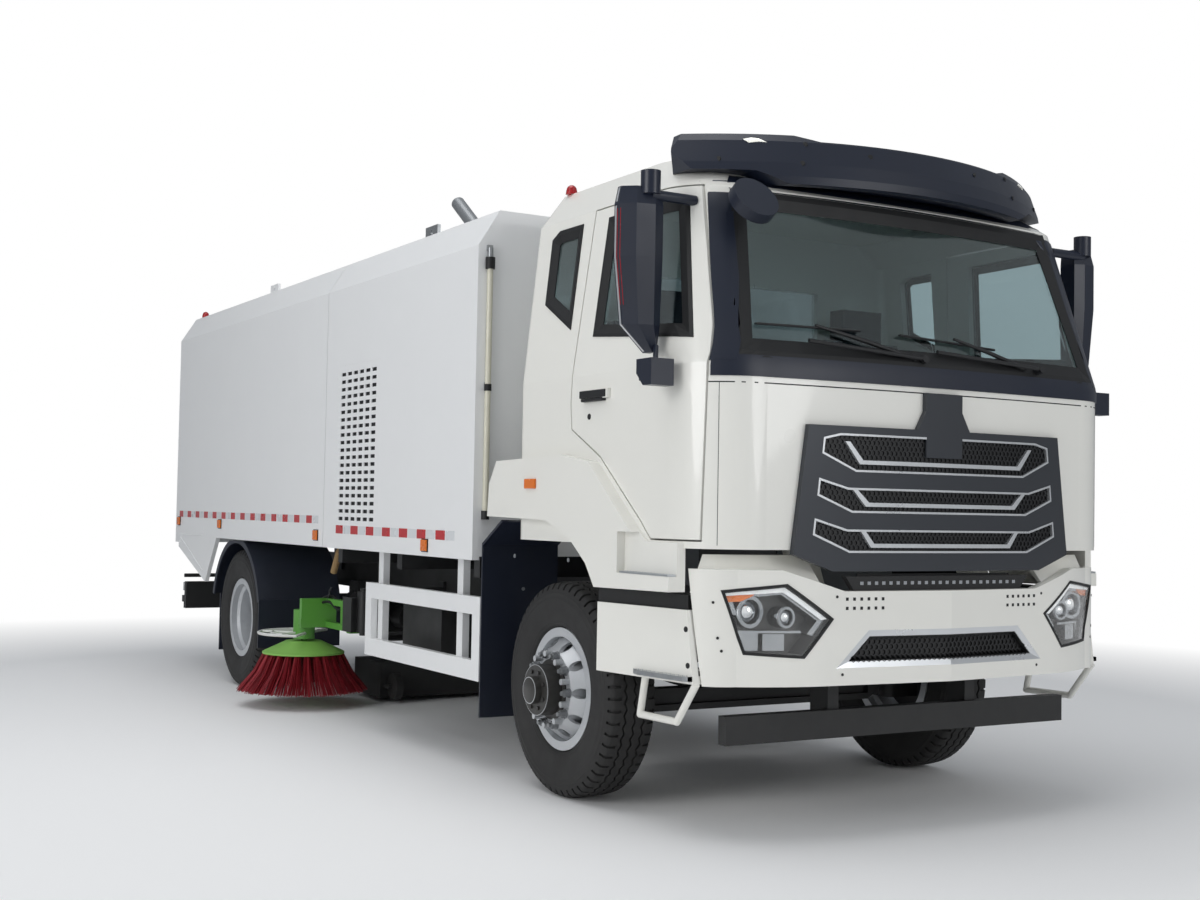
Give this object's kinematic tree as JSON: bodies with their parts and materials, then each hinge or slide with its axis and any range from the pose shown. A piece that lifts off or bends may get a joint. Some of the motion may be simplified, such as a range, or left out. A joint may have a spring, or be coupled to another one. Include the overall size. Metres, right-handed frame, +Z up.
{
  "type": "street sweeper truck",
  "caption": "Two-axle street sweeper truck with a tilting cab, a tipping debris hopper, a belly suction nozzle and swinging side brushes.",
  "frame": {"origin": "on the ground under the middle of the truck's bounding box", "axes": "+X forward, +Y to the vehicle's left, +Z up"},
  "size_m": [8.08, 3.1336, 3.259],
  "materials": {
    "cab_white": "gloss",
    "body_white": "gloss",
    "chassis_black": "satin",
    "cast_grey": "matte",
    "dark_trim": "satin",
    "black_plastic": "satin",
    "glass": "polished",
    "bright_trim": "gloss",
    "tyre": "matte",
    "rim_silver": "satin",
    "bright_steel": "polished",
    "seat_cloth": "matte",
    "brush_green": "gloss",
    "bristle_red": "matte"
  },
  "bodies": {
    "chassis": {"frame": "chassis_black", "front_axle": "chassis_black", "rear_axle": "chassis_black", "leaf_springs": "chassis_black", "engine": "cast_grey", "driveline": "cast_grey", "bumper": "cab_white", "headlamps": "dark_trim", "lamp_units": "bright_trim", "bumper_grille": "dark_trim", "step_panels": "cab_white", "mudguards": "black_plastic", "side_guards": "body_white", "underfloor_boxes": "chassis_black", "service_module": "body_white", "vent_panels": "body_white", "auxiliary_engine": "cast_grey", "roof_fittings": "body_white", "suction_nozzle": "chassis_black", "rear_underrun": "chassis_black"},
    "cab": {"cab_shell": "cab_white", "grille": "dark_trim", "grille_mesh": "black_plastic", "grille_trim": "bright_trim", "visor": "black_plastic", "cab_glass": "glass", "mirrors": "black_plastic", "wipers": "black_plastic", "seats": "seat_cloth", "dashboard": "dark_trim", "steering_wheel": "black_plastic", "cab_fenders": "cab_white"},
    "hopper": {"hopper": "body_white"},
    "tailgate": {"tailgate": "body_white"},
    "lift_barrel": {"lift_barrel": "chassis_black"},
    "lift_rod": {"lift_rod": "bright_steel"},
    "door_left": {"door_left": "cab_white", "door_glass_left": "glass", "mirror_left": "black_plastic"},
    "knuckle_left": {"knuckle_left": "chassis_black"},
    "front_wheel_left": {"front_tyre_left": "tyre", "front_rim_left": "rim_silver"},
    "rear_wheels_left": {"rear_tyres_left": "tyre", "rear_rims_left": "rim_silver"},
    "brush_carrier_left": {"brush_carrier_left": "brush_green"},
    "brush_arm_left": {"brush_arm_left": "brush_green"},
    "brush_left": {"brush_disc_left": "brush_green", "brush_bristles_left": "bristle_red"},
    "door_right": {"door_right": "cab_white", "door_glass_right": "glass", "mirror_right": "black_plastic"},
    "knuckle_right": {"knuckle_right": "chassis_black"},
    "front_wheel_right": {"front_tyre_right": "tyre", "front_rim_right": "rim_silver"},
    "rear_wheels_right": {"rear_tyres_right": "tyre", "rear_rims_right": "rim_silver"},
    "brush_carrier_right": {"brush_carrier_right": "brush_green"},
    "brush_arm_right": {"brush_arm_right": "brush_green"},
    "brush_right": {"brush_disc_right": "brush_green", "brush_bristles_right": "bristle_red"}
  },
  "joints": [
    {"name": "cab_tilt", "type": "hinge", "parent": "chassis", "child": "cab", "pos_m": [3.77, 0, 0.85], "axis": [0, 1, 0], "range_deg": [0, 45]},
    {"name": "hopper_tip", "type": "hinge", "parent": "chassis", "child": "hopper", "pos_m": [-3.43, 0, 1.02], "axis": [0, -1, 0], "range_deg": [0, 48]},
    {"name": "tailgate_lift", "type": "hinge", "parent": "hopper", "child": "tailgate", "pos_m": [-3.732, 0, 2.918], "axis": [0, 1, 0], "range_deg": [0, 75]},
    {"name": "lift_barrel_swing", "type": "hinge", "parent": "chassis", "child": "lift_barrel", "pos_m": [-2.58, 0, 0.8], "axis": [0, -1, 0], "range_deg": [0, 62.1]},
    {"name": "lift_rod_slide", "type": "slide", "parent": "lift_barrel", "child": "lift_rod", "axis": [0.982, 0, 0.1888], "range_m": [0, 0.601]},
    {"name": "door_left_hinge", "type": "hinge", "parent": "cab", "child": "door_left", "pos_m": [3.816, 1.128, 1.6], "axis": [0, 0, -1], "range_deg": [0, 65]},
    {"name": "steer_left", "type": "hinge", "parent": "chassis", "child": "knuckle_left", "pos_m": [2.62, 0.9, 0.505], "axis": [0, 0, 1], "range_deg": [-36, 36]},
    {"name": "front_wheel_left_spin", "type": "hinge", "parent": "knuckle_left", "child": "front_wheel_left", "pos_m": [2.62, 1.02, 0.505], "axis": [0, 1, 0], "continuous": true},
    {"name": "rear_wheels_left_spin", "type": "hinge", "parent": "chassis", "child": "rear_wheels_left", "pos_m": [-2.15, 0.93, 0.505], "axis": [0, 1, 0], "continuous": true},
    {"name": "brush_left_swing", "type": "hinge", "parent": "chassis", "child": "brush_carrier_left", "pos_m": [-0.23, 0.985, 0.67], "axis": [0, 0, -1], "range_deg": [0, 30]},
    {"name": "brush_left_lift", "type": "hinge", "parent": "brush_carrier_left", "child": "brush_arm_left", "pos_m": [-0.34, 0.985, 0.64], "axis": [0, 1, 0], "range_deg": [-5, 10]},
    {"name": "brush_left_spin", "type": "hinge", "parent": "brush_arm_left", "child": "brush_left", "pos_m": [-0.96, 1.12, 0.42], "axis": [0, 0, 1], "continuous": true},
    {"name": "door_right_hinge", "type": "hinge", "parent": "cab", "child": "door_right", "pos_m": [3.816, -1.128, 1.6], "axis": [0, 0, 1], "range_deg": [0, 65]},
    {"name": "steer_right", "type": "hinge", "parent": "chassis", "child": "knuckle_right", "pos_m": [2.62, -0.9, 0.505], "axis": [0, 0, 1], "range_deg": [-36, 36]},
    {"name": "front_wheel_right_spin", "type": "hinge", "parent": "knuckle_right", "child": "front_wheel_right", "pos_m": [2.62, -1.02, 0.505], "axis": [0, 1, 0], "continuous": true},
    {"name": "rear_wheels_right_spin", "type": "hinge", "parent": "chassis", "child": "rear_wheels_right", "pos_m": [-2.15, -0.93, 0.505], "axis": [0, 1, 0], "continuous": true},
    {"name": "brush_right_swing", "type": "hinge", "parent": "chassis", "child": "brush_carrier_right", "pos_m": [-0.23, -0.985, 0.67], "axis": [0, 0, 1], "range_deg": [0, 30]},
    {"name": "brush_right_lift", "type": "hinge", "parent": "brush_carrier_right", "child": "brush_arm_right", "pos_m": [-0.34, -0.985, 0.64], "axis": [0, 1, 0], "range_deg": [-5, 10]},
    {"name": "brush_right_spin", "type": "hinge", "parent": "brush_arm_right", "child": "brush_right", "pos_m": [-0.96, -1.12, 0.42], "axis": [0, 0, 1], "continuous": true}
  ],
  "couplings": [
    {"joint": "lift_barrel_swing", "follows": "hopper_tip", "ratio": 1.2914},
    {"joint": "lift_rod_slide", "follows": "hopper_tip", "m_per_rad": 0.7153},
    {"joint": "steer_left", "follows": "steer_right", "ratio": 1}
  ]
}
